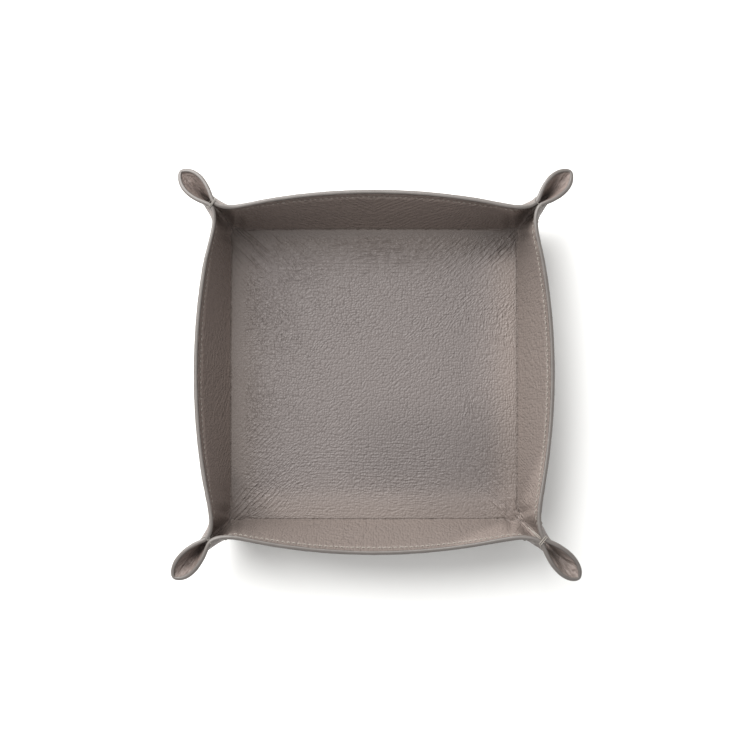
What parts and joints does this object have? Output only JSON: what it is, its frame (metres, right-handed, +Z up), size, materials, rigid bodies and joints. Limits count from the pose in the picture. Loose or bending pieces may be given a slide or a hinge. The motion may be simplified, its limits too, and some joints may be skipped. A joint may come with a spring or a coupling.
{
  "type": "valet tray",
  "caption": "Square leather valet tray with bowed stitched walls, its corners pinched and tacked so that the surplus opens into cupped ears.",
  "frame": {"origin": "centre of the flat underside, on the surface that the tray stands on", "axes": "+Z up out of the tray; X and Y square to the walls, with +Y towards the back wall"},
  "size_m": [0.2296, 0.2312, 0.044],
  "materials": {
    "inner_leather": "pebbled, semi-matt",
    "outer_leather": "pebbled, semi-matt",
    "base_board": "plain fibre board",
    "edge_paint": "smooth painted edge",
    "right_wall_board": "plain fibre board",
    "right_needle_thread": "twisted thread",
    "right_bobbin_thread": "twisted thread",
    "back_wall_board": "plain fibre board",
    "back_needle_thread": "twisted thread",
    "back_bobbin_thread": "twisted thread",
    "left_wall_board": "plain fibre board",
    "left_needle_thread": "twisted thread",
    "left_bobbin_thread": "twisted thread",
    "front_wall_board": "plain fibre board",
    "front_needle_thread": "twisted thread",
    "front_bobbin_thread": "twisted thread",
    "back_right_tack": "twisted thread",
    "back_left_tack": "twisted thread",
    "front_left_tack": "twisted thread",
    "front_right_tack": "twisted thread"
  },
  "bodies": {
    "root": {"inner_leather": "inner_leather", "outer_leather": "outer_leather", "base_board": "base_board", "edge_paint": "edge_paint", "right_wall_board": "right_wall_board", "right_needle_thread": "right_needle_thread", "right_bobbin_thread": "right_bobbin_thread", "back_wall_board": "back_wall_board", "back_needle_thread": "back_needle_thread", "back_bobbin_thread": "back_bobbin_thread", "left_wall_board": "left_wall_board", "left_needle_thread": "left_needle_thread", "left_bobbin_thread": "left_bobbin_thread", "front_wall_board": "front_wall_board", "front_needle_thread": "front_needle_thread", "front_bobbin_thread": "front_bobbin_thread", "back_right_tack": "back_right_tack", "back_left_tack": "back_left_tack", "front_left_tack": "front_left_tack", "front_right_tack": "front_right_tack"}
  },
  "joints": []
}
